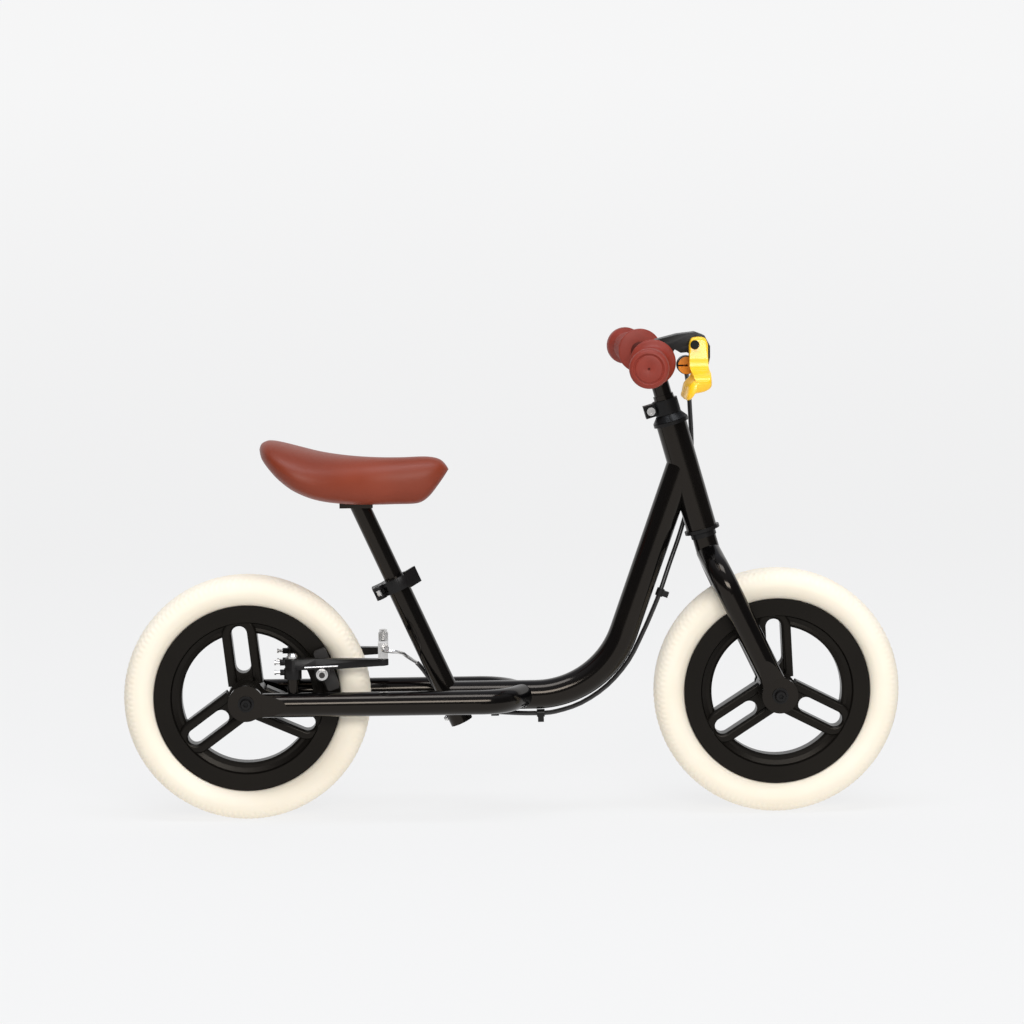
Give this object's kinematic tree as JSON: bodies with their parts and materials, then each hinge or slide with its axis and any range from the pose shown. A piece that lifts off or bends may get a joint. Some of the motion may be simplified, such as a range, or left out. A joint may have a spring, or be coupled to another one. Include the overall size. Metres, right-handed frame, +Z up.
{
  "type": "balance bike",
  "caption": "Child's balance bike with solid pale tyres, spoked plastic rims, bent tube frame, adjustable saddle and bars, and a hand-operated rear rim brake",
  "frame": {"origin": "on the ground, halfway between the two axles, on the bike's centre plane", "axes": "+X forward, +Y to the rider's left, +Z up"},
  "size_m": [0.8, 0.376, 0.5026],
  "materials": {
    "frame_paint": "gloss black powder coat",
    "black_metal": "satin black",
    "bright_steel": "zinc plated",
    "black_plastic": "moulded",
    "rim_plastic": "moulded, satin",
    "cable_jacket": "smooth jacket",
    "pad_rubber": "moulded",
    "cream_tyre": "foam tyre, fine tread",
    "grip_rubber": "soft grip",
    "saddle_leather": "smooth grain",
    "orange_plastic": "moulded",
    "yellow_plastic": "moulded"
  },
  "bodies": {
    "frame": {"main_tube": "frame_paint", "head_tube": "frame_paint", "seat_tube": "frame_paint", "right_stay": "frame_paint", "left_stay": "frame_paint", "brake_posts": "frame_paint", "brake_pivot_bolts": "bright_steel", "headset_cups": "black_metal", "headset_bearings": "bright_steel", "cable_clips": "black_plastic", "cable_main": "cable_jacket", "cable_rear": "cable_jacket", "foot_screw": "bright_steel", "seat_clamp_collar": "black_metal", "seat_clamp_bolt": "bright_steel", "rear_axle": "bright_steel", "rear_axle_spacers": "black_plastic", "rear_axle_bolts": "black_metal", "brake_wire": "bright_steel"},
    "seat_lever": {"seat_clamp_lever": "black_metal"},
    "seat": {"seat_post": "frame_paint", "saddle_base": "black_plastic", "saddle_cushion": "saddle_leather", "saddle_screws": "bright_steel"},
    "fork": {"fork_steerer": "frame_paint", "right_fork_blade": "frame_paint", "left_fork_blade": "frame_paint", "headset_cones": "black_metal", "handlebar_collar": "black_metal", "handlebar_collar_bolt": "bright_steel", "front_axle": "bright_steel", "front_axle_spacers": "black_plastic", "front_axle_bolts": "black_metal"},
    "handlebar": {"handlebar_stem": "frame_paint", "handlebar_bar": "frame_paint", "right_grip": "grip_rubber", "left_grip": "grip_rubber", "brake_lever_body": "black_plastic", "brake_lever_pins": "black_metal", "cable_adjuster": "orange_plastic", "cable_front": "cable_jacket"},
    "hand_lever": {"brake_lever": "yellow_plastic"},
    "front_wheel": {"front_rim": "rim_plastic", "front_tyre": "cream_tyre", "front_bearings": "bright_steel"},
    "rear_wheel": {"rear_rim": "rim_plastic", "rear_tyre": "cream_tyre", "rear_bearings": "bright_steel"},
    "right_arm": {"right_brake_arm": "black_metal", "right_brake_pad": "pad_rubber", "right_pad_nut": "bright_steel", "right_brake_spring": "bright_steel", "cable_link": "bright_steel", "brake_noodle": "bright_steel", "noodle_boot": "pad_rubber"},
    "left_arm": {"left_brake_arm": "black_metal", "left_brake_pad": "pad_rubber", "left_pad_nut": "bright_steel", "left_brake_spring": "bright_steel", "cable_anchor": "bright_steel"}
  },
  "joints": [
    {"name": "steering", "type": "hinge", "parent": "frame", "child": "fork", "pos_m": [0.1962, 0, 0.29659], "axis": [-0.274, 0, 0.9617], "range_deg": [-50, 50], "deforming": ["cable_front"]},
    {"name": "handlebar_height", "type": "slide", "parent": "fork", "child": "handlebar", "axis": [-0.274, 0, 0.9617], "range_m": [-0.025, 0.03], "deforming": ["cable_front"]},
    {"name": "hand_lever_pivot", "type": "hinge", "parent": "handlebar", "child": "hand_lever", "pos_m": [0.18179, 0, 0.49105], "axis": [0, 1, 0], "range_deg": [0, 15], "stiffness_Nm_per_rad": 0.5, "springref_deg": -5.73},
    {"name": "front_wheel_spin", "type": "hinge", "parent": "fork", "child": "front_wheel", "pos_m": [0.273, 0, 0.127], "axis": [0, 1, 0], "continuous": true},
    {"name": "rear_wheel_spin", "type": "hinge", "parent": "frame", "child": "rear_wheel", "pos_m": [-0.273, 0, 0.127], "axis": [0, 1, 0], "continuous": true},
    {"name": "seat_height", "type": "slide", "parent": "frame", "child": "seat", "axis": [-0.4131, 0, 0.9107], "range_m": [-0.05, 0.04]},
    {"name": "seat_lever_pivot", "type": "hinge", "parent": "frame", "child": "seat_lever", "pos_m": [-0.13639, -0.0136, 0.23639], "axis": [0.4131, 0, -0.9107], "range_deg": [0, 150]},
    {"name": "right_arm_pivot", "type": "hinge", "parent": "frame", "child": "right_arm", "pos_m": [-0.225, -0.04, 0.161], "axis": [0, 0, 1], "range_deg": [0, 2.4], "deforming": ["brake_wire", "cable_rear"]},
    {"name": "left_arm_pivot", "type": "hinge", "parent": "frame", "child": "left_arm", "pos_m": [-0.225, 0.04, 0.161], "axis": [0, 0, -1], "range_deg": [0, 2.4], "deforming": ["brake_wire"]}
  ],
  "couplings": [
    {"joint": "right_arm_pivot", "follows": "hand_lever_pivot", "ratio": 0.16},
    {"joint": "left_arm_pivot", "follows": "hand_lever_pivot", "ratio": 0.16}
  ]
}
